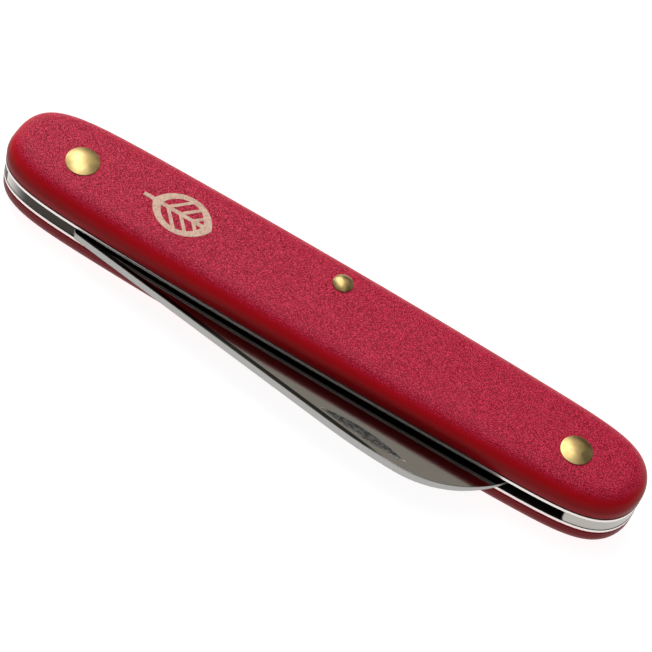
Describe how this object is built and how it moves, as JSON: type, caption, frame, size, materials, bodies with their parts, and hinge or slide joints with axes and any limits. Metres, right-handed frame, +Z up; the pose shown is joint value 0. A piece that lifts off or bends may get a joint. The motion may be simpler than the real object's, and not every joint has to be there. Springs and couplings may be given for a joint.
{
  "type": "folding grafting knife",
  "caption": "Slender pocket grafting knife with rounded moulded handle scales over metal liners, a springback and a straight-edged folding blade with a nail nick, stored closed.",
  "frame": {"origin": "middle of the rear scale's flat outer face, where the closed knife rests", "axes": "+X along the handle from the blade's pivot to the butt, +Y towards the spring back, +Z up out of the rear scale towards the marked front scale"},
  "size_m": [0.1004, 0.0223, 0.0124],
  "materials": {
    "scale_red": "satin moulded nylon",
    "liner_metal": "satin sheet",
    "blade_steel": "fine polished",
    "spring_steel": "fine brushed",
    "rivet_brass": "polished",
    "mark_foil": "satin champagne foil"
  },
  "bodies": {
    "handle": {"front_scale": "scale_red", "rear_scale": "scale_red", "front_liner": "liner_metal", "rear_liner": "liner_metal", "backspring": "spring_steel", "pivot_rivet": "rivet_brass", "centre_rivet": "rivet_brass", "butt_rivet": "rivet_brass", "pivot_burr": "rivet_brass", "centre_burr": "rivet_brass", "butt_burr": "rivet_brass", "leaf_mark": "mark_foil"},
    "blade": {"blade": "blade_steel"}
  },
  "joints": [
    {"name": "blade_pivot", "type": "hinge", "parent": "handle", "child": "blade", "pos_m": [-0.03905, -0.0008, 0.0059], "axis": [0, 0, -1], "range_deg": [0, 180], "deforming": ["backspring"]}
  ]
}
